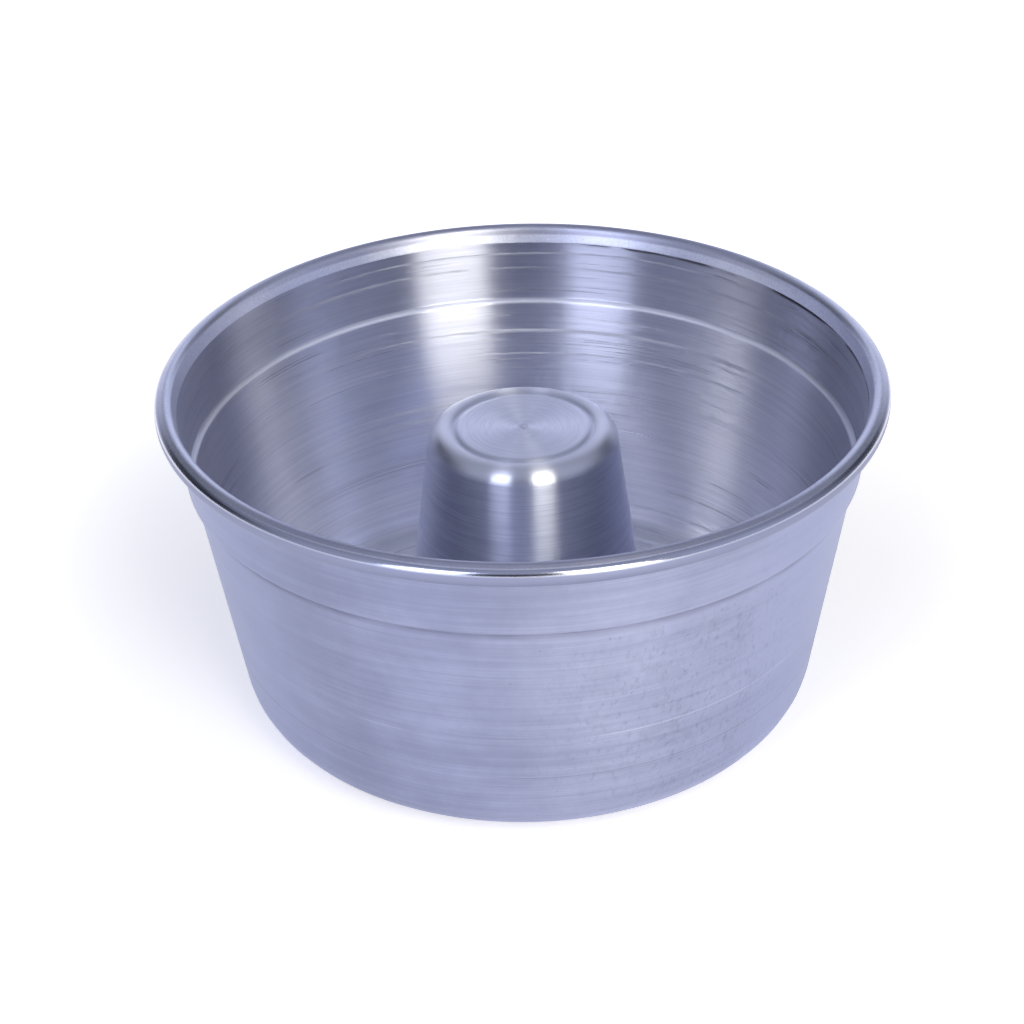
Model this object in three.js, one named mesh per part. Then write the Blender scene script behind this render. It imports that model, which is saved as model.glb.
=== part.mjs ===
// Ring mould of spun aluminium, with a closed cone in the middle.
//
// Every piece is a solid of revolution about Z, in millimetres, and the mould stands on z = 0.
// The two sheet pieces are drawn as a spinner would draw them: the middle line of the sheet, with a
// radius at every bend, thickened by half the gauge to each side.
//
//   pan_shell    floor, wall, outward step, collar and rolled rim, all one sheet
//   centre_cone  closed cone whose foot hooks round the hem of the hole in the floor
//   rim_wire     wire ring that the rim is rolled over

import * as THREE from "three";

// Driving dimensions. Radii and heights of the shell are those of its outer face.
const GAUGE = 1.0;             // sheet thickness
const SLIP = 0.3;              // gap between the folded layers of the seam
const RIM_RADIUS = 100;        // outermost point of the rolled rim
const RIM_TOP = 98.3;          // highest point of the rolled rim
const FOOT_RADIUS = 66.7;      // outer edge of the flat ring that the mould stands on
const CORNER_RADIUS = 15.3;    // round between floor and wall
const WALL_LEAN = 9.1;         // degrees from upright, wall below the step
const STEP_Z = 74.6;           // where the wall turns outwards
const STEP_OUT = 1.5;          // how far the step stands out
const STEP_RISE = 0.65;        // how far the step climbs on its way out
const CREASE_Z = 93.5;         // where the collar ends and the rim begins
const CREASE_RADIUS = 95.3;
const STEP_BEND = 0.8;         // radius of both bends of the step, at the middle of the sheet
const BEND_RADIUS = 1.95;      // rolled rim: outer radius of the tight bend above the collar,
const BEND_REACH = 96.94;      //   and how far its centre is from the axis
const CROWN_RADIUS = 1.76;     // outer radius of the crown,
const CROWN_DROP = 0.55;       //   and how far its centre is below that of the bend
const CURL_RADIUS = 2.9;       // outer radius of the curl round the wire,
const CURL_DROP = 0.7;         //   and how far its centre is below that of the crown
const BEND_START = 167;        // degrees round the roll where the collar runs into the bend,
const CROWN_START = 59;        //   where the bend becomes the crown,
const CURL_END = -115;         //   and where the sheet ends
const WIRE_RADIUS = 1.25;
const WIRE_INSET = 2.6;        // middle of the wire, inwards from the rim's outermost point
const WIRE_DROP = 3.2;         //   and down from its highest
const SEAM_LIFT = 1.0;         // space between the table and the underside of the seam
const SEAM_LEG = 2.6;          // overlap of the two hooks
const SEAM_PLAY = 0.1;         // extra room between the cone and the hem round it
const PLATEAU_RADIUS = 45;     // top of the slope round the raised floor centre
const PLATEAU_FOOT = 47.5;     // foot of that slope
const PLATEAU_BEND = 1.2;      // radius of the bends at its top and foot
const CONE_LEAN = 7.65;        // degrees from upright, side of the cone
const CONE_TOP = 81.4;         // upper face of the cone's flat end
const CONE_END_RADIUS = 25.95; // side of the cone carried up to the height of its flat end
const SHOULDER_RADIUS = 4.6;   // round between side and end
const GROOVE_RADIUS = 19.4;    // ring groove pressed into the end
const GROOVE_DEPTH = 0.55;
const GROOVE_HALF_WIDTH = 1.5;
const GROOVE_BEND = 1.2;       // radius of the bends that make the groove
const SPIN_STEPS = 48;         // facets round each piece

const HALF = GAUGE / 2;
const DEGREE = Math.PI / 180;
const SAME_POINT = 1e-6;       // points closer than this are one point

const at = (r, z) => new THREE.Vector2(r, z);
const towards = (angle) => at(Math.cos(angle * DEGREE), Math.sin(angle * DEGREE));

// Points on an arc from one angle to another, in degrees, with both ends.
function arc(centre, radius, from, to, steps) {
  return Array.from({ length: steps + 1 }, (_, i) =>
    towards(from + ((to - from) * i) / steps).multiplyScalar(radius).add(centre));
}

// A polyline whose inner corners are rounded. A corner is [point, bend radius, steps]. Where two
// bends meet, their common point is kept once.
function bent(corners) {
  const path = [corners[0][0]];
  for (let i = 1; i < corners.length - 1; i++) {
    const [corner, radius, steps] = corners[i];
    const back = corners[i - 1][0].clone().sub(corner).normalize();
    const ahead = corners[i + 1][0].clone().sub(corner).normalize();
    const half = Math.acos(back.dot(ahead)) / 2;
    const centre = back.clone().add(ahead).setLength(radius / Math.sin(half)).add(corner);
    const start = back.clone().multiplyScalar(radius / Math.tan(half)).add(corner).sub(centre);
    const turn = Math.sign(ahead.cross(back)) * (Math.PI - 2 * half);
    for (let k = 0; k <= steps; k++) {
      const next = start.clone().rotateAround(at(0, 0), (turn * k) / steps).add(centre);
      if (next.distanceTo(path.at(-1)) > SAME_POINT) path.push(next);
    }
  }
  path.push(corners.at(-1)[0]);
  return path;
}

// One side of a sheet: the middle line moved sideways, with mitred corners.
function offset(path, distance) {
  return path.map((p, i) => {
    const before = p.clone().sub(path[i - 1] ?? p);
    const after = (path[i + 1] ?? p).clone().sub(p);
    const a = (before.length() ? before : after).normalize();
    const b = (after.length() ? after : before).normalize();
    const mitre = at(-a.y - b.y, a.x + b.x).multiplyScalar(distance / (1 + a.dot(b)));
    return mitre.add(p);
  });
}

function sheetOutline(path) {
  return [...offset(path, -HALF), ...offset(path, HALF).reverse()];
}

// Turns an outline about Z. The metal is on the outline's left. The outline is closed here, unless
// it starts and ends on the axis.
function turned(name, outline, finish) {
  const closed = outline[0].x === 0 ? outline : [...outline, outline[0]];
  const geometry = new THREE.LatheGeometry(closed, SPIN_STEPS);
  geometry.rotateX(Math.PI / 2);
  const mesh = new THREE.Mesh(geometry, new THREE.MeshStandardMaterial(finish));
  mesh.name = name;
  return mesh;
}

// Heights of the layers in the floor seam, each at the middle of its sheet, from the table up.
const LAYER = GAUGE + SLIP;
const FLANGE_Z = SEAM_LIFT + HALF;
const HEM_Z = FLANGE_Z + LAYER;
const HOOK_Z = HEM_Z + LAYER;
const PLATEAU_Z = HOOK_Z + LAYER;

// The side of the cone, at the middle of its sheet, and the hem that surrounds it.
function coneSide(z) {
  const outerFace = CONE_END_RADIUS + (CONE_TOP - z) * Math.tan(CONE_LEAN * DEGREE);
  return outerFace - HALF / Math.cos(CONE_LEAN * DEGREE);
}

const HEM_RADIUS = coneSide(HEM_Z) + LAYER + SEAM_PLAY;
const HEM_EDGE = HEM_RADIUS + LAYER + SEAM_LEG;
const HOOK_EDGE = HEM_RADIUS + LAYER + SLIP;

// The rim: a tight bend up from the collar, a sloping crown, then a curl round under the wire.
function rolledRim() {
  const bend = at(BEND_REACH, RIM_TOP - BEND_RADIUS);
  const crown = at(RIM_RADIUS - CROWN_RADIUS, bend.y - CROWN_DROP);
  const curl = at(RIM_RADIUS - CURL_RADIUS, crown.y - CURL_DROP);
  return [
    ...arc(bend, BEND_RADIUS - HALF, BEND_START, CROWN_START, 4),
    ...arc(crown, CROWN_RADIUS - HALF, CROWN_START, 0, 2),
    ...arc(curl, CURL_RADIUS - HALF, 0, CURL_END, 5),
  ];
}

function panShell() {
  const lean = WALL_LEAN * DEGREE;
  const wall = (z) =>
    FOOT_RADIUS + (CORNER_RADIUS - HALF) / Math.cos(lean) + (z - CORNER_RADIUS) * Math.tan(lean);
  const body = bent([
    [at(HEM_EDGE, HEM_Z)],
    [at(HEM_RADIUS, HEM_Z), LAYER, 3],
    [at(HEM_RADIUS, PLATEAU_Z), LAYER, 3],
    [at(PLATEAU_RADIUS, PLATEAU_Z), PLATEAU_BEND, 2],
    [at(PLATEAU_FOOT, HALF), PLATEAU_BEND, 2],
    [at(wall(HALF), HALF), CORNER_RADIUS - HALF, 7],
    [at(wall(STEP_Z), STEP_Z), STEP_BEND, 2],
    [at(wall(STEP_Z) + STEP_OUT, STEP_Z + STEP_RISE), STEP_BEND, 2],
    [at(CREASE_RADIUS - HALF, CREASE_Z)],
  ]);
  return sheetOutline([...body, ...rolledRim()]);
}

function centreCone() {
  const end = CONE_TOP - HALF;
  const groove = at(GROOVE_RADIUS, end - GROOVE_DEPTH);
  return sheetOutline(bent([
    [at(0, end)],
    [at(groove.x - GROOVE_HALF_WIDTH, end), GROOVE_BEND, 1],
    [groove, GROOVE_BEND, 1],
    [at(groove.x + GROOVE_HALF_WIDTH, end), GROOVE_BEND, 1],
    [at(coneSide(end), end), SHOULDER_RADIUS - HALF, 5],
    [at(coneSide(FLANGE_Z), FLANGE_Z), LAYER, 3],
    [at(HEM_EDGE + LAYER, FLANGE_Z), LAYER, 3],
    [at(HEM_EDGE + LAYER, HOOK_Z), LAYER, 3],
    [at(HOOK_EDGE, HOOK_Z)],
  ]));
}

function rimWire() {
  const centre = at(RIM_RADIUS - WIRE_INSET, RIM_TOP - WIRE_DROP);
  return arc(centre, WIRE_RADIUS, 0, 360, 8).slice(0, -1);
}

const mould = new THREE.Group();
mould.add(
  turned("pan_shell", panShell(), { color: 0xb4b8cc, roughness: 0.34, metalness: 1 }),
  turned("centre_cone", centreCone(), { color: 0xa9aec6, roughness: 0.3, metalness: 1 }),
  turned("rim_wire", rimWire(), { color: 0x9c9ea6, roughness: 0.5, metalness: 1 }),
);

export default mould;
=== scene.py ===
"""A ring mould of spun, brushed aluminium on a pale floor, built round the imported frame."""

import math

import bpy
import numpy as np
from mathutils import Matrix, Vector


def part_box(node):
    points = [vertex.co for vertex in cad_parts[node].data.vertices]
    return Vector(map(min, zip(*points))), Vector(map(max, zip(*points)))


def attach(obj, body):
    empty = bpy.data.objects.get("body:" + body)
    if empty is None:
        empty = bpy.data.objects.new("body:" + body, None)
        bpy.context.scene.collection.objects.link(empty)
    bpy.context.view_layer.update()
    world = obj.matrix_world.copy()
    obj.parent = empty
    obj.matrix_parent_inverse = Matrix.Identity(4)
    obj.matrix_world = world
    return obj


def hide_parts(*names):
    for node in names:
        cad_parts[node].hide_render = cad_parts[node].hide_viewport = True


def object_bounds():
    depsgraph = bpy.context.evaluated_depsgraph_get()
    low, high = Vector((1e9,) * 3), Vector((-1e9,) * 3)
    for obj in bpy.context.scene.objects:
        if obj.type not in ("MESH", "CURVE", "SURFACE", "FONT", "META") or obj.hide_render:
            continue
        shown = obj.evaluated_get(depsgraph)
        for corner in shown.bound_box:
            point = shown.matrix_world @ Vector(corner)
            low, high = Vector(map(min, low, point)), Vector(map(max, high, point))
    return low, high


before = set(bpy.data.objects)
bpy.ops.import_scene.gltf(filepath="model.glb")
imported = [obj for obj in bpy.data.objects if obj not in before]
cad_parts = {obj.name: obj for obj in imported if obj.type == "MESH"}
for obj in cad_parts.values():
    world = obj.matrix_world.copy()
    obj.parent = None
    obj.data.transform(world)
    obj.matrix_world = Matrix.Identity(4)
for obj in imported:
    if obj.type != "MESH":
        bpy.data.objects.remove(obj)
cad_box = [list(corner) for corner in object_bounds()]

# ---------------------------------------------------------------------------------------------
# Sizes, in millimetres. The outer ones are read from the frame and the rest follow the part.
# ---------------------------------------------------------------------------------------------

MM = 0.001
shell_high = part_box("pan_shell")[1]
cone_low, cone_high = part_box("centre_cone")
wire_low, wire_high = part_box("rim_wire")

GAUGE = 1.0                     # thickness of the sheet
HALF = GAUGE / 2
SLIP = 0.3                      # gap between the folded layers of the floor seam
SEAM_PLAY = 0.1                 # extra room between the cone and the hem round it
SEAM_LEG = 2.6                  # overlap of the two hooks
SEAM_LIFT = cone_low[2] / MM    # space between the table and the underside of the seam
LAYER = GAUGE + SLIP

RIM_RADIUS = shell_high[0] / MM
RIM_TOP = 98.3
FOOT_RADIUS = 66.7              # outer edge of the flat ring that the mould stands on
CORNER_RADIUS = 15.3            # round between floor and wall
WALL_LEAN = math.radians(9.1)   # from upright
STEP_Z = 74.6                   # where the wall turns outwards
STEP_OUT = 1.5
STEP_RISE = 0.65
STEP_BEND = 0.8
CREASE_Z = 93.5                 # where the collar ends and the rim begins
CREASE_RADIUS = 95.3
PLATEAU_RADIUS = 45.0           # top of the slope round the raised floor centre
PLATEAU_FOOT = 47.5             # foot of that slope
PLATEAU_BEND = 1.2

CONE_TOP = cone_high[2] / MM
CONE_LEAN = math.radians(7.65)  # from upright
CONE_END_RADIUS = 25.95         # side of the cone carried up to the height of its flat end
SHOULDER_RADIUS = 4.6           # round between side and end
GROOVE_RADIUS = 19.4            # ring groove pressed into the end
GROOVE_DEPTH = 0.55
GROOVE_HALF_WIDTH = 1.5
GROOVE_EDGE_BEND = 3.0          # both bends are softer than the part's, to match the photo
GROOVE_MIDDLE_BEND = 2.2

WIRE_RADIUS = (wire_high[2] - wire_low[2]) / MM / 2
WIRE_Z = (wire_high[2] + wire_low[2]) / MM / 2
WIRE_RING = wire_high[0] / MM - WIRE_RADIUS

# Facets round each piece.
SHELL_TURNS = 176
CONE_TURNS = 160
WIRE_TURNS = 96
WIRE_SIDES = 20                 # of the wire's section

# The ridges that the spinning tool left: how far apart, how wide and how proud they are.
INSIDE_SPACING = 3.8
OUTSIDE_SPACING = 8.5
CONE_SPACING = 3.4
SHELL_RIDGE_WIDTH = 0.35
SHELL_RIDGE_HEIGHT = 0.022
OUTSIDE_SHARE = 0.5             # of the inside's height
CONE_RIDGE_WIDTH = 0.3
CONE_RIDGE_HEIGHT = 0.007
STEP_CLEAR = 2.0                # no ridge nearer than this to the step
SHOULDER_CLEAR = 4.0            #   or to the cone's shoulder
CONE_FOOT = 16.0                #   or on this last length of the cone
INSIDE_SEED = 11
OUTSIDE_SEED = 47
CONE_SEED = 83
CONE_SHAPE_SEED = 85

# Distances between the rows of points in a section.
RIDGE_REACH = 0.8               # how near a ridge the rows are close together
FINE_ROWS = 0.25
SHELL_ROWS = 1.6
CONE_ROWS = 1.2
LEAST_GAP = 0.04
ON_AXIS = 1e-9                  # a radius below this is on the axis


# ---------------------------------------------------------------------------------------------
# Section drawing: the middle line of a sheet, rounded at its bends, then given its thickness
# ---------------------------------------------------------------------------------------------

def unit(v):
    return v / np.hypot(*v)


def arc(centre, radius, start, end, steps):
    """Points on an arc, angles in degrees, both ends included."""
    angles = np.radians(np.linspace(start, end, steps + 1))
    return np.array(centre) + radius * np.c_[np.cos(angles), np.sin(angles)]


def bent(corners, step=8.0):
    """A polyline with rounded inner corners. A corner is (r, z) or (r, z, bend radius)."""
    path = [np.array(corners[0][:2])]
    for before, (r, z, radius), after in zip(corners, corners[1:-1], corners[2:]):
        corner = np.array([r, z])
        back = unit(np.array(before[:2]) - corner)
        ahead = unit(np.array(after[:2]) - corner)
        half = math.acos(back @ ahead) / 2
        centre = corner + unit(back + ahead) * radius / math.sin(half)
        start = corner + back * radius / math.tan(half) - centre
        side = np.sign(ahead[0] * back[1] - ahead[1] * back[0])
        turn = side * (math.pi - 2 * half)
        steps = max(2, round(math.degrees(abs(turn)) / step))
        first = math.atan2(start[1], start[0])
        path += list(arc(centre, radius, math.degrees(first), math.degrees(first + turn), steps))
    path.append(np.array(corners[-1][:2]))
    return np.array(path)


def normals_of(path):
    """The left-hand normal at each point of a path."""
    run = np.gradient(path, axis=0)
    run /= np.hypot(run[:, 0], run[:, 1])[:, None]
    return np.c_[-run[:, 1], run[:, 0]]


def lengths_of(path):
    return np.r_[0, np.cumsum(np.hypot(*np.diff(path, axis=0).T))]


# ---------------------------------------------------------------------------------------------
# Meshes
# ---------------------------------------------------------------------------------------------

def side_of(path, distance):
    """The path moved sideways: one face of the sheet whose middle line it is."""
    return path + distance * normals_of(path)


def turned(name, rows, turns, ridge=None, height=0.0, zones=None):
    """A solid turned about Z. rows is its closed outline in mm, with the material on its left.
    ridge says how much of the given height each point stands proud, for rows by turns, and zones
    is the material index of each row's faces. The mesh keeps ridge, and the distance along the
    outline, as attributes for its materials."""
    around = np.arange(turns) / turns * math.tau
    ridge = np.zeros((len(rows), turns)) if ridge is None else ridge
    zones = np.zeros(len(rows), int) if zones is None else zones
    outwards = -normals_of(rows)
    r = rows[:, :1] + height * ridge * outwards[:, :1]
    z = rows[:, 1:] + height * ridge * outwards[:, 1:]
    on_axis = rows[:, 0] < ON_AXIS
    vertices, along, proud, index, total = [], [], [], [], 0
    lengths = lengths_of(rows)
    for row in range(len(rows)):
        if on_axis[row]:
            vertices.append([[0.0, 0.0, z[row, 0]]])
            index.append(np.full(turns, total))
        else:
            vertices.append(np.c_[r[row] * np.cos(around), r[row] * np.sin(around), z[row]])
            index.append(np.arange(total, total + turns))
        count = len(vertices[-1])
        along += [lengths[row]] * count
        proud += ridge[row, :count].tolist()
        total += count
    faces, kinds = [], []
    for row in range(len(rows)):
        low, high = index[row], index[(row + 1) % len(rows)]
        low_next, high_next = np.roll(low, -1), np.roll(high, -1)
        after_on_axis = on_axis[(row + 1) % len(rows)]
        if on_axis[row] and after_on_axis:
            continue
        if on_axis[row]:
            faces += np.c_[low, high_next, high].tolist()
        elif after_on_axis:
            faces += np.c_[low, low_next, high].tolist()
        else:
            faces += np.c_[low, low_next, high_next, high].tolist()
        kinds += [int(zones[row])] * turns
    mesh = bpy.data.meshes.new(name)
    mesh.from_pydata((np.vstack(vertices) * MM).tolist(), [], faces)
    mesh.polygons.foreach_set("material_index", kinds)
    mesh.attributes.new("along", "FLOAT", "POINT").data.foreach_set("value", along)
    mesh.attributes.new("ridge", "FLOAT", "POINT").data.foreach_set("value", proud)
    mesh.shade_smooth()
    mesh.update()
    piece = bpy.data.objects.new(name, mesh)
    bpy.context.scene.collection.objects.link(piece)
    return piece


def tool_ridges(seed, length, spacing):
    """Where the spinning tool left a ridge, as distances along the section in mm."""
    rng = np.random.default_rng(seed)
    places = np.cumsum(spacing * rng.uniform(0.6, 1.4, size=int(2 * length / spacing)))
    return places[places < length]


def ridge_shape(seed, rows, turns, places, width):
    """Ridges at the given places, from 0 to 1, which sway a little and fade in and out."""
    rng = np.random.default_rng(seed)
    along, around = np.meshgrid(lengths_of(rows), np.arange(turns) / turns * math.tau, indexing="ij")
    ridge = np.zeros(along.shape)
    for place in places:
        sway = 0.12 * np.sin(around + rng.uniform(0, math.tau)) + 0.06 * np.sin(7 * around)
        fade = 0.75 + 0.25 * np.sin(around * rng.integers(1, 4) + rng.uniform(0, math.tau))
        size = rng.uniform(0.6, 1.0)
        ridge += size * fade * np.exp(-np.abs((along - place - sway) / width) ** 1.5)
    return ridge


def fade_in(value, low, high):
    t = np.clip((value - low) / (high - low), 0, 1)
    return t * t * (3 - 2 * t)


# The layers of the floor seam, at the middle of each sheet.
FLANGE_Z = SEAM_LIFT + HALF
HEM_Z = FLANGE_Z + LAYER
HOOK_Z = HEM_Z + LAYER
PLATEAU_Z = HOOK_Z + LAYER


def cone_side(z):
    """The middle of the cone's side sheet."""
    return CONE_END_RADIUS + (CONE_TOP - z) * math.tan(CONE_LEAN) - HALF / math.cos(CONE_LEAN)


HEM_RADIUS = cone_side(HEM_Z) + LAYER + SEAM_PLAY
HEM_EDGE = HEM_RADIUS + LAYER + SEAM_LEG
HOOK_EDGE = HEM_RADIUS + LAYER + SLIP


def wall_radius(z):
    """The middle of the wall sheet below the step."""
    upright = FOOT_RADIUS + (CORNER_RADIUS - HALF) / math.cos(WALL_LEAN)
    return upright + (z - CORNER_RADIUS) * math.tan(WALL_LEAN)


# The rim: a tight bend up from the collar, a sloping crown, then a curl round under the wire. The
# radii are those of the sheet's middle line, and each drop is from the centre before.
BEND_RADIUS = 1.95 - HALF
BEND_REACH = 96.94
CROWN_RADIUS = 1.76 - HALF
CROWN_DROP = 0.55
CURL_RADIUS = 2.9 - HALF
CURL_DROP = 0.7
BEND_CENTRE = (BEND_REACH, RIM_TOP - HALF - BEND_RADIUS)
CROWN_CENTRE = (RIM_RADIUS - HALF - CROWN_RADIUS, BEND_CENTRE[1] - CROWN_DROP)
CURL_CENTRE = (RIM_RADIUS - HALF - CURL_RADIUS, CROWN_CENTRE[1] - CURL_DROP)

# Degrees round the roll where the bend and the crown begin, and where the sheet ends.
BEND_START = 167
CROWN_START = 59
CURL_END = -115


def shell_path():
    """The middle line of the shell's sheet, from the edge of the hem to the end of the curl."""
    body = bent([
        (HEM_EDGE, HEM_Z),
        (HEM_RADIUS, HEM_Z, LAYER),
        (HEM_RADIUS, PLATEAU_Z, LAYER),
        (PLATEAU_RADIUS, PLATEAU_Z, PLATEAU_BEND),
        (PLATEAU_FOOT, HALF, PLATEAU_BEND),
        (wall_radius(HALF), HALF, CORNER_RADIUS - HALF),
        (wall_radius(STEP_Z), STEP_Z, STEP_BEND),
        (wall_radius(STEP_Z) + STEP_OUT, STEP_Z + STEP_RISE, STEP_BEND),
        (CREASE_RADIUS - HALF, CREASE_Z),
    ], step=12)
    rim = np.vstack([
        arc(BEND_CENTRE, BEND_RADIUS, BEND_START, CROWN_START, 10),
        arc(CROWN_CENTRE, CROWN_RADIUS, CROWN_START, 0, 6),
        arc(CURL_CENTRE, CURL_RADIUS, 0, CURL_END, 10),
    ])
    return np.vstack([body, rim])


def crowded(path, places, sparse):
    """The path with points added, close together where the ridges are and sparse elsewhere."""
    lengths = lengths_of(path)
    wanted = [0.0]
    while wanted[-1] < lengths[-1]:
        to_ridge = np.abs(places - wanted[-1]).min()
        wanted.append(wanted[-1] + (FINE_ROWS if to_ridge < RIDGE_REACH else sparse))
    wanted = np.unique(np.r_[wanted[:-1], lengths].round(4))
    keep = np.r_[True, np.diff(wanted) > LEAST_GAP]
    wanted = wanted[keep]
    return np.c_[np.interp(wanted, lengths, path[:, 0]), np.interp(wanted, lengths, path[:, 1])]


# Material indices: those of the shell, then those of the cone.
INSIDE, OUTSIDE, RIM = 0, 1, 2
SIDE, END = 0, 1


def shell_face(path, seed, distance, spacing):
    """One face of the shell, from the floor seam to the rim, and its ridges."""
    face = side_of(path, distance)
    lengths = lengths_of(face)
    crease = lengths[np.argmin(np.hypot(face[:, 0] - CREASE_RADIUS, face[:, 1] - CREASE_Z))]
    step = lengths[np.argmin(np.abs(face[:, 1] - STEP_Z))]
    places = tool_ridges(seed, crease, spacing)
    places = places[np.abs(places - step) > STEP_CLEAR]
    rows = crowded(face, places, SHELL_ROWS)
    ridge = ridge_shape(seed, rows, SHELL_TURNS, places, SHELL_RIDGE_WIDTH)
    ridge *= fade_in(rows[:, :1], PLATEAU_FOOT + 3, PLATEAU_FOOT + 6)
    ridge *= 1 - fade_in(rows[:, 1:], CREASE_Z - 3, CREASE_Z - 1)
    return rows, ridge


def make_shell():
    path = shell_path()
    inside, inside_ridge = shell_face(path, INSIDE_SEED, HALF, INSIDE_SPACING)
    outside, outside_ridge = shell_face(path, OUTSIDE_SEED, -HALF, OUTSIDE_SPACING)
    outside_ridge *= OUTSIDE_SHARE * fade_in(outside[:, 1:], 3, 6)
    rows = np.vstack([outside, inside[::-1]])
    ridge = np.vstack([outside_ridge, inside_ridge[::-1]])
    zones = np.r_[np.full(len(outside), OUTSIDE), np.full(len(inside), INSIDE)]
    zones[(rows[:, 0] > CREASE_RADIUS + 0.3) | (rows[:, 1] > CREASE_Z - 0.1)] = RIM
    return turned("shell_spun", rows, SHELL_TURNS, ridge, SHELL_RIDGE_HEIGHT, zones)


def make_cone():
    end = CONE_TOP - HALF
    path = bent([
        (0, end),
        (GROOVE_RADIUS - GROOVE_HALF_WIDTH, end, GROOVE_EDGE_BEND),
        (GROOVE_RADIUS, end - GROOVE_DEPTH, GROOVE_MIDDLE_BEND),
        (GROOVE_RADIUS + GROOVE_HALF_WIDTH, end, GROOVE_EDGE_BEND),
        (cone_side(end), end, SHOULDER_RADIUS - HALF),
        (cone_side(FLANGE_Z), FLANGE_Z, LAYER),
        (HEM_EDGE + LAYER, FLANGE_Z, LAYER),
        (HEM_EDGE + LAYER, HOOK_Z, LAYER),
        (HOOK_EDGE, HOOK_Z),
    ], step=7)
    upper, under = side_of(path, HALF), side_of(path, -HALF)
    upper[0, 0] = under[0, 0] = 0.0
    places = tool_ridges(CONE_SEED, lengths_of(upper)[-1] - CONE_FOOT, CONE_SPACING)
    places = places[np.abs(places - cone_side(end)) > SHOULDER_CLEAR]
    upper = crowded(upper, places, CONE_ROWS)
    ridge = ridge_shape(CONE_SHAPE_SEED, upper, CONE_TURNS, places, CONE_RIDGE_WIDTH)
    ridge *= fade_in(lengths_of(upper), 2, 5)[:, None]
    rows = np.vstack([under, upper[::-1]])
    ridge = np.vstack([np.zeros((len(under), CONE_TURNS)), ridge[::-1]])
    flat = (rows[:, 1] > CONE_TOP - GAUGE) & (rows[:, 0] < GROOVE_RADIUS + GROOVE_HALF_WIDTH)
    zones = np.where(flat, END, SIDE)
    return turned("cone_spun", rows, CONE_TURNS, ridge, CONE_RIDGE_HEIGHT, zones)


def make_wire():
    section = arc((WIRE_RING, WIRE_Z), WIRE_RADIUS, 0, 360, WIRE_SIDES)[:-1]
    return turned("wire_ring", section, WIRE_TURNS)


# ---------------------------------------------------------------------------------------------
# Materials
# ---------------------------------------------------------------------------------------------

class Nodes:
    """A thin wrapper that keeps node code short: each call makes a node and returns its output."""

    def __init__(self, name):
        self.material = bpy.data.materials.new(name)
        self.material.use_nodes = True
        self.tree = self.material.node_tree
        self.shader = self.tree.nodes["Principled BSDF"]

    def node(self, kind, inputs=(), output=0, **settings):
        node = self.tree.nodes.new(kind)
        for key, value in settings.items():
            setattr(node, key, value)
        for key, value in dict(inputs).items():
            self.put(node.inputs[key], value)
        return node.outputs[output]

    def put(self, socket, value):
        if isinstance(value, bpy.types.NodeSocket):
            self.tree.links.new(value, socket)
        else:
            socket.default_value = value

    def math(self, operation, a, b=0.0, c=0.0):
        return self.node("ShaderNodeMath", {0: a, 1: b, 2: c}, operation=operation)

    def vector(self, operation, a, b=(0, 0, 0), output=0):
        return self.node("ShaderNodeVectorMath", {0: a, 1: b}, output, operation=operation)

    def smooth(self, value, low, high, start=0.0, end=1.0):
        """start at low, end at high, smooth between them and level beyond."""
        return self.node("ShaderNodeMapRange", {0: value, 1: low, 2: high, 3: start, 4: end},
                         interpolation_type="SMOOTHSTEP")

    def noise(self, vector, scale, detail=2.0, roughness=0.5, distortion=0.0):
        return self.node("ShaderNodeTexNoise",
                         {"Vector": vector, "Scale": scale, "Detail": detail,
                          "Roughness": roughness, "Distortion": distortion})

    def between(self, kind, factor, a, b):
        node = self.tree.nodes.new("ShaderNodeMix")
        node.data_type = kind
        self.put(node.inputs["Factor"], factor)
        self.put(node.inputs["A"], a)
        self.put(node.inputs["B"], b)
        return node.outputs["Result"]

    def mix(self, factor, a, b):
        """Colour a where factor is 0, and b where it is 1."""
        return self.between("RGBA", factor, a, b)

    def blend(self, factor, a, b):
        """Value a where factor is 0, and b where it is 1."""
        return self.between("FLOAT", factor, a, b)


INSIDE_BRIGHT = (0.82, 0.83, 0.91, 1)
INSIDE_DULL = (0.72, 0.73, 0.82, 1)
CONE_BRIGHT = (0.84, 0.86, 0.96, 1)
CONE_DULL = (0.72, 0.74, 0.85, 1)
OUTSIDE_BRIGHT = (0.42, 0.445, 0.61, 1)
OUTSIDE_DULL = (0.27, 0.29, 0.42, 1)
SIDE_REFLECTION_BLUE = (0.42, 0.46, 0.67, 1)
RIM_BRIGHT = (0.88, 0.90, 1.0, 1)
RIM_DULL = (0.76, 0.78, 0.91, 1)
LIP_SHADE_TONE = (0.55, 0.57, 0.68, 1)
CROWN_SHADE_TONE = (0.32, 0.32, 0.42, 1)
PAINTED_LIGHT_TONE = (0.92, 0.93, 1.0, 1)
INSIDE_SHADE_TONE = (0.30, 0.31, 0.40, 1)
STEP_HIGHLIGHT_TONE = (0.90, 0.91, 1.0, 1)
SCRATCH_AND_GROOVE_SHADE = (0.22, 0.22, 0.27, 1)
SMUDGE_AND_SHADOW = (0.16, 0.16, 0.22, 1)
DIRT = (0.10, 0.09, 0.11, 1)
WIRE_DULL = (0.42, 0.43, 0.46, 1)
WIRE_BRIGHT = (0.58, 0.59, 0.62, 1)
PAPER_DULL = (0.93, 0.90, 0.84, 1)
PAPER_BRIGHT = (0.95, 0.92, 0.86, 1)
PAPER_GLOW = (1.0, 0.99, 0.98, 1)

BRUSHED_LOW = 0.36              # the noise that gives the dullest brushed metal,
BRUSHED_HIGH = 0.64             #   and the brightest

ROLL_CENTRE = (97.2, 95.4)      # middle of the rolled rim's section
WORN_PATCH = (42, -78, 42)      # middle of the scuffed area outside
BRIGHT_LINE_Z = 37.0            # heights of two turned lines on the outer face
DARK_LINE_Z = 23.5
DULL_BAND_Z = 30.0              # middle of a duller band there, and half its height
DULL_BAND_HALF = 7.5


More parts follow.
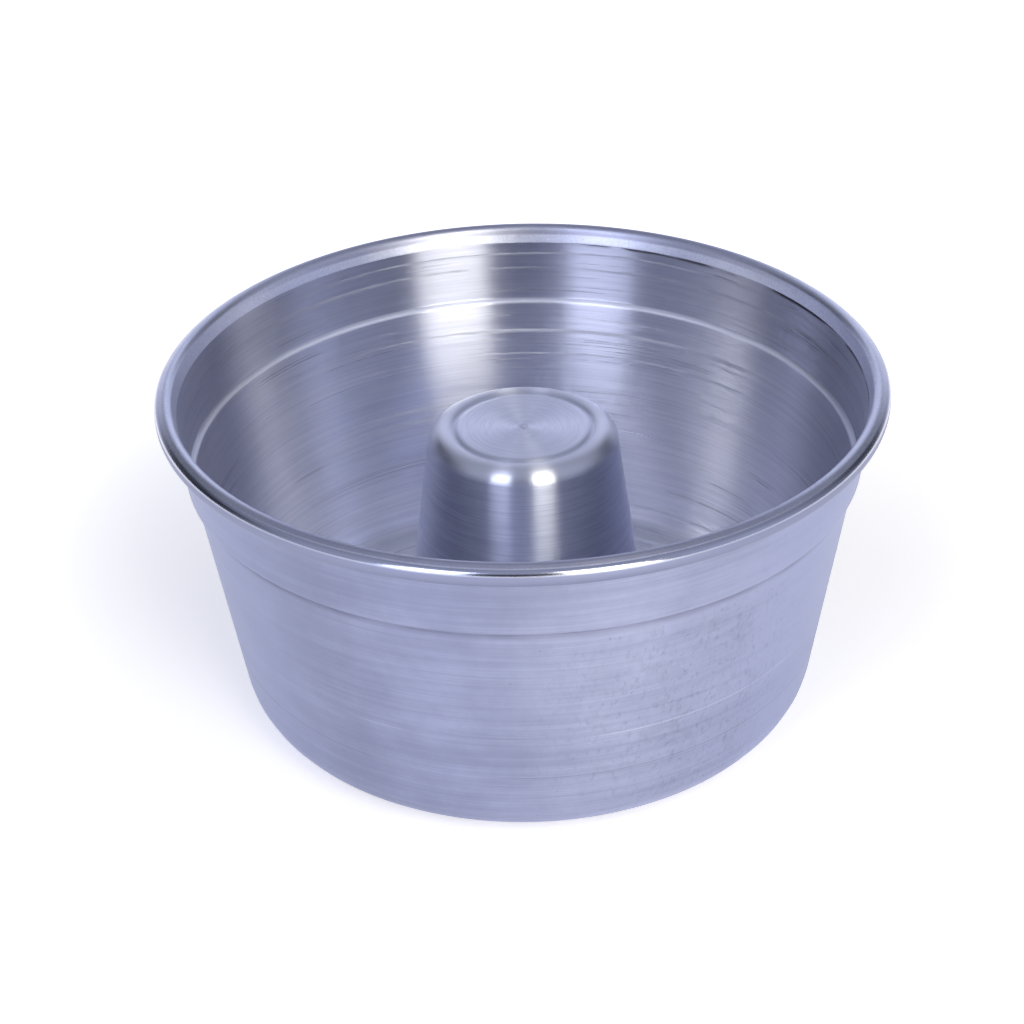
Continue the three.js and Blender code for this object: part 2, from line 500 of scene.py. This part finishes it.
class TurnedMetal(Nodes):
    """Metal with lathe marks round Z: coordinates in mm, and a finish that scatters light across
    the marks and not along them."""

    def __init__(self, name):
        super().__init__(name)
        place = self.node("ShaderNodeTexCoord", output=3)
        self.place = self.vector("SCALE", place)
        self.place.node.inputs["Scale"].default_value = 1 / MM
        parts = self.tree.nodes.new("ShaderNodeSeparateXYZ")
        self.put(parts.inputs[0], self.place)
        self.x, self.y, self.z = parts.outputs
        squares = self.math("ADD", self.math("MULTIPLY", self.x, self.x),
                            self.math("MULTIPLY", self.y, self.y))
        self.radius = self.math("SQRT", squares)
        safe = self.math("MAXIMUM", self.radius, 0.5)
        self.cos = self.math("DIVIDE", self.x, safe)
        self.sin = self.math("DIVIDE", self.y, safe)
        # How far to either side, and how far to the front or back, from 0 to 1.
        self.sideways = self.math("ABSOLUTE", self.cos)
        self.endways = self.math("ABSOLUTE", self.sin)
        self.along = self.node("ShaderNodeAttribute", output=2, attribute_name="along")
        self.ridge = self.node("ShaderNodeAttribute", output=2, attribute_name="ridge")

    def rings(self, reach, scale, detail=2.0, roughness=0.5):
        """Noise drawn out round the axis. reach is how often it changes in a turn, and scale how
        often it changes in a millimetre across."""
        vector = self.node("ShaderNodeCombineXYZ", {
            0: self.math("MULTIPLY", self.cos, reach),
            1: self.math("MULTIPLY", self.sin, reach),
            2: self.math("MULTIPLY", self.along, scale)})
        return self.noise(vector, 1.0, detail, roughness)

    def near(self, value, centre, half_width):
        """1 at the centre of a band, fading to 0 at its edges."""
        distance = self.math("ABSOLUTE", self.math("SUBTRACT", value, centre))
        return self.smooth(distance, half_width, 0.0)

    def times(self, *factors):
        """The product of two or more values."""
        product = factors[0]
        for factor in factors[1:]:
            product = self.math("MULTIPLY", product, factor)
        return product

    def finished(self, colour, roughness, height, depth, anisotropy, metallic=1.0):
        """Sets the shader, with bump of the given depth in mm, and returns the material."""
        shader = self.shader
        self.put(shader.inputs["Base Color"], colour)
        self.put(shader.inputs["Roughness"], roughness)
        self.put(shader.inputs["Metallic"], metallic)
        shader.inputs["Anisotropic"].default_value = anisotropy
        # The tangent runs round the axis. A quarter turn of it makes highlights run across the
        # marks.
        shader.inputs["Anisotropic Rotation"].default_value = 0.25
        self.put(shader.inputs["Tangent"],
                 self.node("ShaderNodeTangent", direction_type="RADIAL", axis="Z"))
        bump = self.node("ShaderNodeBump",
                         {"Strength": 1.0, "Distance": depth * MM, "Height": height})
        self.put(shader.inputs["Normal"], bump)
        return self.material


def inner_metal():
    """Lathe-brushed inner face: bright, with hairlines, scraped ridges and dark scratches, and with
    painted shade, painted light and a painted highlight.
    """
    m = TurnedMetal("brushed_inside")
    hairlines = m.rings(3.0, 2.6, 1, 0.6)
    lines = m.rings(1.2, 0.8, 2, 0.6)
    bands = m.rings(0.5, 0.14, 2)
    brushed = m.math("MULTIPLY_ADD", lines, 0.5, m.math("MULTIPLY", hairlines, 0.5))
    colour = m.mix(m.smooth(brushed, BRUSHED_LOW, BRUSHED_HIGH), INSIDE_DULL, INSIDE_BRIGHT)

    # Painted shade: darker towards the top, more of it on the collar, and at both sides.
    inside_shade = m.math("MAXIMUM", m.smooth(m.z, 50, 95, 0.0, 0.34),
                     m.smooth(m.sideways, 0.70, 0.98, 0.0, 0.40))
    inside_shade = m.math("ADD", inside_shade, m.smooth(m.z, STEP_Z, STEP_Z + 2, 0.0, 0.12))
    colour = m.mix(inside_shade, colour, INSIDE_SHADE_TONE)
    roughness = m.math("MULTIPLY_ADD", m.math("SUBTRACT", brushed, 0.5), 0.14, 0.31)
    roughness = m.math("MULTIPLY_ADD", m.math("SUBTRACT", bands, 0.5), 0.08, roughness)

    # The floor is painted paler, as painted light, and its finish is coarser.
    low = m.smooth(m.z, 9.0, 3.0)
    colour = m.mix(low, colour, PAINTED_LIGHT_TONE)
    roughness = m.math("MULTIPLY_ADD", low, 0.38, roughness)

    # The crests of the ridges, most of all at the back, and the edges of the step are scraped and
    # scatter light all ways. The step's edge is also painted pale, as a painted highlight.
    jagged = m.rings(26.0, 1.5, 2)
    crest = m.smooth(m.times(m.ridge, m.math("MULTIPLY_ADD", jagged, 1.6, 0.2)), 0.25, 0.65)
    crest = m.times(crest, m.smooth(m.sin, 0.1, 0.8, 0.45, 1.0))
    roughness = m.blend(crest, roughness, 0.70)
    step = m.near(m.z, STEP_Z + 0.35, 0.9)
    # Painted highlight: the step's edge is painted pale.
    colour = m.mix(m.times(step, 0.7), colour, STEP_HIGHLIGHT_TONE)
    scraped = m.math("MAXIMUM", m.times(crest, 0.30), m.times(step, 0.50))
    metallic = m.math("SUBTRACT", 1.0, scraped)

    # Short dark scratches that follow the rings.
    thin = m.smooth(m.rings(0.7, 1.5, 1), 0.60, 0.66)
    short = m.smooth(m.rings(2.5, 0.12, 2), 0.52, 0.62)
    ragged = m.smooth(m.rings(20.0, 1.5, 1), 0.30, 0.50, 0.4, 1.0)
    scratch = m.times(thin, short, ragged)
    colour = m.mix(m.times(scratch, 0.26), colour, SCRATCH_AND_GROOVE_SHADE)
    roughness = m.blend(scratch, roughness, 0.5)

    # Black residue in the crease under the rim, on one side.
    residue = m.times(m.near(m.z, CREASE_Z - 0.5, 0.9), m.smooth(m.cos, 0.05, 0.35),
                      m.smooth(m.rings(5.0, 0.5, 3), 0.40, 0.58))
    colour = m.mix(m.times(residue, 0.9), colour, DIRT)
    roughness = m.blend(residue, roughness, 0.7)

    height = m.math("SUBTRACT", brushed, scratch)
    return m.finished(colour, roughness, height, depth=0.012, anisotropy=1.0, metallic=metallic)


def outer_metal():
    """Duller, darker outer face, with faint rings, a worn, pitted patch at the front, and painted
    light and shade.
    """
    m = TurnedMetal("brushed_outside")
    hairlines = m.rings(3.0, 2.4, 1, 0.6)
    lines = m.rings(1.0, 0.5, 2, 0.6)
    bands = m.rings(0.5, 0.10, 2)
    tone_and_painted_light = m.math("MULTIPLY_ADD", lines, 0.28, m.math("MULTIPLY", hairlines, 0.30))
    tone_and_painted_light = m.math("MULTIPLY_ADD", bands, 0.27, tone_and_painted_light)
    clouds = m.noise(m.place, 0.06, 5, 0.65)
    tone_and_painted_light = m.math("MULTIPLY_ADD", clouds, 0.40, tone_and_painted_light)

    # Darker in a band and towards the foot. Painted light: lighter to the right, darker to the left.
    # Painted shade on the collar at the front and back.
    tone_and_painted_light = m.math("SUBTRACT", tone_and_painted_light, m.times(m.near(m.z, DULL_BAND_Z, DULL_BAND_HALF), 0.06))
    tone_and_painted_light = m.math("MULTIPLY_ADD", m.cos, 0.18, tone_and_painted_light)
    tone_and_painted_light = m.math("MULTIPLY_ADD", m.smooth(m.z, 28, 5), -0.08, tone_and_painted_light)
    collar = m.smooth(m.z, STEP_Z, STEP_Z + 2)
    front_or_back = m.smooth(m.sideways, 0.7, 0.2)
    tone_and_painted_light = m.math("SUBTRACT", tone_and_painted_light, m.times(collar, front_or_back, 0.07))
    colour = m.mix(m.smooth(tone_and_painted_light, 0.34, 0.88), OUTSIDE_DULL, OUTSIDE_BRIGHT)
    # Painted reflection: bluer and lighter towards the sides.
    colour = m.mix(m.smooth(m.sideways, 0.5, 1.0, 0.0, 0.8), colour, SIDE_REFLECTION_BLUE)
    below_step = m.smooth(m.z, STEP_Z - 1, STEP_Z - 3)

    # Two turned lines, one bright and one dark.
    bright_line = m.times(m.near(m.z, BRIGHT_LINE_Z, 0.22),
                          m.smooth(m.rings(2.0, 0.1, 2), 0.45, 0.60))
    dark_line = m.times(m.near(m.z, DARK_LINE_Z, 0.25),
                        m.smooth(m.rings(2.0, 0.1, 2), 0.35, 0.50))
    colour = m.mix(m.times(bright_line, 0.45), colour, INSIDE_BRIGHT)
    colour = m.mix(m.times(dark_line, 0.35), colour, DIRT)

    # Scuffs, pits and specks, and a painted shadow under the step.
    off_centre = m.vector("DISTANCE", m.place, WORN_PATCH, output=1)
    worn = m.times(m.smooth(off_centre, 58, 20), below_step)
    tall = m.vector("MULTIPLY", m.place, (1, 1, 0.45))
    pits = m.smooth(m.noise(tall, 0.9, 4, 0.65), 0.52, 0.70)
    blots = m.smooth(m.noise(m.place, 0.12, 4, 0.6, 0.4), 0.52, 0.66)
    specks = m.smooth(m.noise(m.place, 1.0, 1), 0.78, 0.82)
    scuff = m.times(worn, m.math("MULTIPLY_ADD", pits, 0.6, m.times(blots, 0.3)))
    marks_and_shadow = m.math("MAXIMUM", m.times(scuff, 0.36), m.times(specks, 0.5))
    uneven = m.smooth(m.rings(7.0, 0.5, 3), 0.35, 0.65, 0.6, 1.0)
    # Painted shadow under the step, uneven in strength.
    step_shadow = m.times(m.smooth(m.z, STEP_Z - 3.6, STEP_Z - 0.2),
                         m.smooth(m.z, STEP_Z + 0.5, STEP_Z + 0.3))
    marks_and_shadow = m.math("MAXIMUM", marks_and_shadow, m.times(step_shadow, uneven, 0.50))
    colour = m.mix(marks_and_shadow, colour, SMUDGE_AND_SHADOW)

    roughness = m.math("MULTIPLY_ADD", m.math("SUBTRACT", hairlines, 0.5), 0.2, 0.50)
    roughness = m.math("MULTIPLY_ADD", marks_and_shadow, 0.3, roughness)
    height = m.math("SUBTRACT", m.math("MULTIPLY", tone_and_painted_light, 0.8), m.times(marks_and_shadow, 1.2))
    return m.finished(colour, roughness, height, depth=0.012, anisotropy=0.65)


def rim_metal():
    """A satin crown with a fine grain, and a burnished lip on the outer turn of the roll, with
    painted shade on the lip at the front and on the crown at the front and back.
    """
    m = TurnedMetal("rolled_rim")
    grain = m.noise(m.place, 1.6, 3, 0.6)
    rubbed = m.smooth(m.noise(m.place, 0.16, 2), 0.40, 0.65)
    colour = m.mix(m.smooth(grain, 0.30, 0.70), RIM_DULL, RIM_BRIGHT)
    roughness = m.math("MULTIPLY_ADD", grain, 0.08, 0.36)
    roughness = m.math("SUBTRACT", roughness, m.times(rubbed, 0.04))

    # The lip, by the angle round the middle of the roll's section.
    angle = m.math("ARCTAN2", m.math("SUBTRACT", m.z, ROLL_CENTRE[1]),
                   m.math("SUBTRACT", m.radius, ROLL_CENTRE[0]))
    lip = m.times(m.smooth(angle, 1.05, 0.85), m.smooth(angle, 0.15, 0.40))
    lip = m.times(lip, m.smooth(m.sin, -0.2, -0.7, 0.3, 1.0))
    # Painted shade: the lip is darker, most of all at the front; its low roughness is the burnish.
    colour = m.mix(lip, colour, LIP_SHADE_TONE)
    roughness = m.blend(lip, roughness, 0.16)

    # Below the lip the metal is as dull as the outer face, and the crown is painted darker front and
    # back as painted shade.
    outer_side = m.smooth(m.radius, ROLL_CENTRE[0] - 1, ROLL_CENTRE[0])
    below = m.times(m.smooth(angle, 0.45, 0.15), outer_side)
    colour = m.mix(below, colour, OUTSIDE_DULL)
    roughness = m.blend(below, roughness, 0.44)
    crown = m.times(m.smooth(angle, 0.95, 1.15), m.smooth(angle, 3.1, 2.8))
    ends = m.smooth(m.endways, 0.45, 0.95, 0.0, 0.70)
    colour = m.mix(m.times(crown, ends), colour, CROWN_SHADE_TONE)
    height = m.times(grain, m.math("SUBTRACT", 1.0, lip))
    return m.finished(colour, roughness, height, depth=0.004, anisotropy=0.5)


def cone_metal(name, base_roughness, anisotropy):
    """Fine, even lathe brushing, with a shoulder painted paler as painted light, and a rougher
    groove darkened as painted shade.
    """
    m = TurnedMetal(name)
    hairlines = m.rings(2.0, 3.0, 1, 0.6)
    lines = m.rings(0.9, 1.1, 2, 0.6)
    brushed = m.math("MULTIPLY_ADD", lines, 0.4, m.math("MULTIPLY", hairlines, 0.6))
    colour = m.mix(m.smooth(brushed, BRUSHED_LOW, BRUSHED_HIGH), CONE_DULL, CONE_BRIGHT)
    # Painted light: the shoulder is painted paler.
    shoulder = m.times(m.smooth(m.radius, GROOVE_RADIUS, GROOVE_RADIUS + 3),
                       m.smooth(m.z, CONE_TOP - SHOULDER_RADIUS, CONE_TOP - 2))
    colour = m.mix(m.times(shoulder, 0.8), colour, PAINTED_LIGHT_TONE)
    groove = m.times(m.near(m.radius, GROOVE_RADIUS, 1.6),
                     m.smooth(m.z, CONE_TOP - 2, CONE_TOP - 1.5))

    # A small blotch in the middle of the end.
    blotch = m.smooth(m.vector("DISTANCE", m.place, (0, 0, CONE_TOP), output=1), 2.2, 0.8)
    blotch = m.times(blotch, m.smooth(m.noise(m.place, 0.8, 3), 0.40, 0.55))
    # Painted shade darkens the groove; the blotch is a mark on the metal.
    dull = m.math("MAXIMUM", m.times(groove, 0.10), m.times(blotch, 0.4))
    colour = m.mix(dull, colour, SCRATCH_AND_GROOVE_SHADE)
    roughness = m.math("MULTIPLY_ADD", m.math("SUBTRACT", brushed, 0.5), 0.16, base_roughness)
    roughness = m.math("MULTIPLY_ADD", groove, 0.10, roughness)
    return m.finished(colour, roughness, brushed, depth=0.010, anisotropy=anisotropy)


def cone_side_metal():
    return cone_metal("brushed_cone", base_roughness=0.32, anisotropy=1.0)


def cone_end_metal():
    return cone_metal("turned_cone_end", base_roughness=0.31, anisotropy=0.9)


def wire_metal():
    """Drawn galvanised wire, hidden in the rim."""
    m = TurnedMetal("galvanised_wire")
    drawn = m.rings(8.0, 3.0, 2, 0.5)
    colour = m.mix(m.smooth(drawn, 0.35, 0.65), WIRE_DULL, WIRE_BRIGHT)
    roughness = m.math("MULTIPLY_ADD", drawn, 0.2, 0.35)
    return m.finished(colour, roughness, drawn, depth=0.01, anisotropy=0.3)


def floor_paint():
    """Pale paper that glows, more so away from the mould, so that it fades to white."""
    m = Nodes("floor_paper")
    place = m.node("ShaderNodeTexCoord", output=3)
    fibre = m.noise(place, 900, 2)
    m.put(m.shader.inputs["Base Color"], m.mix(m.smooth(fibre, 0.3, 0.7), PAPER_DULL, PAPER_BRIGHT))
    m.shader.inputs["Roughness"].default_value = 0.9
    m.shader.inputs["Specular IOR Level"].default_value = 0.1
    m.shader.inputs["Emission Color"].default_value = PAPER_GLOW
    from_axis = m.vector("LENGTH", place, output=1)
    glow = m.smooth(from_axis, 0.08, 0.30, 0.40, 0.75)
    m.put(m.shader.inputs["Emission Strength"], glow)
    return m.material


# ---------------------------------------------------------------------------------------------
# Camera, light and floor
# ---------------------------------------------------------------------------------------------

CAMERA_DISTANCE = 6.667     # rim radii from the middle of the rim
CAMERA_RISE = 28.16         # degrees above the plane of the rim
CAMERA_LENS = 85.6          # mm
SENSOR_WIDTH = 36           # mm
CLIP_END = 60               # metres
CAMERA_PAN = 0.232          # degrees, to the left
CAMERA_TILT = 3.09          # degrees, downwards
CAMERA_ROLL = -1.32         # degrees, and a negative roll leans the camera to its right
RIM_PLANE = 95.8            # mm above the table

ROOM_COLOUR = (0.72, 0.77, 1.0, 1)
CEILING_LIGHT = 0.52
CEILING_BEHIND = 0.36       # the ceiling behind the mould
# The walls are dark, with three pale panels. Each has a strength, then the directions where it
# starts, is full, begins to fade and ends, in degrees from the mould: 0 is the camera's side, 90 its
# right, 180 behind the mould and 270 the camera's left.
DARK_WALL = 0.05
WALL_PANELS = (
    (0.62, 30, 50, 75, 125),     # right
    (0.90, 145, 165, 190, 210),  # behind
    (0.55, 260, 290, 315, 340),  # left
)
SWEEP_LIGHT = 0.85          # the paper that rises behind the mould, near the horizon

# Where one part of the room fades into the next: height, or depth behind the mould, of a direction
# of length 1.
WALLS_TO_CEILING = (0.48, 0.75)
CEILING_FRONT_TO_BACK = (-0.3, 0.5)
SIDES_TO_SWEEP = (0.55, 0.85)
SWEEP_TO_WALL = (0.20, 0.42)

# The key lights are tall soft boxes: name, azimuth in degrees, width in metres, strength and colour.
KEY_DISTANCE = 1.6
KEY_BOTTOM = 0.10
KEY_TOP = 2.3
KEY_LIGHTS = (
    ("key_right", 24.0, 0.70, 5.3, (1.0, 0.98, 0.88)),
    ("key_left", -29.0, 0.64, 3.2, (0.76, 0.81, 1.0)),
)

FLOOR_HALF = 12             # metres, half the floor's side
FLOOR_DROP = 0.0002         # metres, below the lowest point of the part


def make_camera():
    rise = math.radians(CAMERA_RISE)
    away = Vector((0, -math.cos(rise), math.sin(rise)))
    rim_centre = Vector((0, 0, RIM_PLANE * MM))
    forward = -away
    right = Vector((1, 0, 0))
    up = right.cross(forward)
    looking = Matrix((right, -up, forward))
    roll = Matrix.Rotation(math.radians(CAMERA_ROLL), 3, "Z")
    tilt = Matrix.Rotation(math.radians(CAMERA_TILT), 3, "X")
    pan = Matrix.Rotation(math.radians(CAMERA_PAN), 3, "Y")
    axes = pan @ tilt @ roll @ looking
    turn = Matrix((axes[0], -axes[1], -axes[2])).transposed()
    data = bpy.data.cameras.new("camera")
    data.lens = CAMERA_LENS
    data.sensor_width = SENSOR_WIDTH
    data.clip_end = CLIP_END
    camera = bpy.data.objects.new("camera", data)
    place = rim_centre + away * CAMERA_DISTANCE * RIM_RADIUS * MM
    camera.matrix_world = Matrix.Translation(place) @ turn.to_4x4()
    bpy.context.scene.collection.objects.link(camera)
    bpy.context.scene.camera = camera


def soft_box(name, azimuth, width, radiance, colour):
    """A tall upright light that looks at the mould's axis. Azimuth 0 is the camera's side, in
    degrees to its right."""
    a = math.radians(azimuth)
    away = Vector((math.sin(a), -math.cos(a), 0))
    data = bpy.data.lights.new(name, "AREA")
    data.shape = "RECTANGLE"
    data.size = width
    data.size_y = KEY_TOP - KEY_BOTTOM
    data.energy = radiance * math.pi * data.size * data.size_y
    data.color = colour
    light = bpy.data.objects.new(name, data)
    light.location = away * KEY_DISTANCE + Vector((0, 0, (KEY_TOP + KEY_BOTTOM) / 2))
    light.rotation_euler = away.to_track_quat("Z", "Y").to_euler()
    light.visible_camera = False
    bpy.context.scene.collection.objects.link(light)


def make_world():
    """A soft room: pale behind the mould, dimmer above and to the sides, and dark elsewhere."""
    world = bpy.data.worlds.new("studio")
    world.use_nodes = True
    tree = world.node_tree

    def node(kind, *inputs, **settings):
        """Makes a node, with its inputs in order as values or as sockets to link."""
        made = tree.nodes.new(kind)
        for key, value in settings.items():
            setattr(made, key, value)
        for socket, value in zip(made.inputs, inputs):
            if isinstance(value, bpy.types.NodeSocket):
                tree.links.new(value, socket)
            else:
                socket.default_value = value
        return made

    def calculate(operation, *inputs):
        return node("ShaderNodeMath", *inputs, operation=operation).outputs[0]

    def fade(value, limits, start, end):
        """start below the limits, end above them, and smooth between them."""
        return node("ShaderNodeMapRange", value, *limits, start, end,
                    interpolation_type="SMOOTHSTEP").outputs[0]

    towards = node("ShaderNodeTexCoord").outputs["Generated"]
    x, y, z = node("ShaderNodeSeparateXYZ", towards).outputs

    # The direction as a turn from 0 to 1, starting at the camera's side.
    angle = calculate("ARCTAN2", x, calculate("MULTIPLY", y, -1.0))
    turn = calculate("FRACT", calculate("MULTIPLY", angle, 1 / math.tau))
    walls = node("ShaderNodeValToRGB", turn)
    stops = walls.color_ramp.elements
    stops[0].color = stops[1].color = (DARK_WALL, DARK_WALL, DARK_WALL, 1)
    for pale, starts, full, fades, ends in WALL_PANELS:
        for degrees, grey in ((starts, DARK_WALL), (full, pale), (fades, pale), (ends, DARK_WALL)):
            stops.new(degrees / 360).color = (grey, grey, grey, 1)

    ceiling = fade(y, CEILING_FRONT_TO_BACK, CEILING_LIGHT, CEILING_BEHIND)
    strength = fade(z, WALLS_TO_CEILING, walls.outputs[0], ceiling)
    sweep = fade(z, SWEEP_TO_WALL, fade(y, SIDES_TO_SWEEP, 0.0, SWEEP_LIGHT), 0.0)
    strength = calculate("MAXIMUM", strength, sweep)
    tree.nodes["Background"].inputs["Color"].default_value = ROOM_COLOUR
    tree.links.new(strength, tree.nodes["Background"].inputs["Strength"])
    bpy.context.scene.world = world


def make_floor():
    mesh = bpy.data.meshes.new("floor")
    corners = [(x * FLOOR_HALF, y * FLOOR_HALF, 0) for x, y in ((-1, -1), (1, -1), (1, 1), (-1, 1))]
    mesh.from_pydata(corners, [], [(0, 1, 2, 3)])
    floor = bpy.data.objects.new("floor", mesh)
    floor.location.z = cad_box[0][2] - FLOOR_DROP
    floor.data.materials.append(floor_paint())
    bpy.context.scene.collection.objects.link(floor)


make_camera()
make_world()
for key_light in KEY_LIGHTS:
    soft_box(*key_light)
make_floor()

scene = bpy.context.scene
scene.view_settings.view_transform = "Standard"
scene.cycles.blur_glossy = 0.0
scene.cycles.glossy_bounces = 8

# ---------------------------------------------------------------------------------------------
# Pieces
# ---------------------------------------------------------------------------------------------

for maker, paints, node, finish in (
    (make_shell, (inner_metal, outer_metal, rim_metal), "pan_shell", "shell_aluminium"),
    (make_cone, (cone_side_metal, cone_end_metal), "centre_cone", "cone_aluminium"),
    (make_wire, (wire_metal,), "rim_wire", "rim_wire_steel"),
):
    piece = maker()
    for paint in paints:
        piece.data.materials.append(paint())
    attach(piece, "root")
    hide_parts(node)
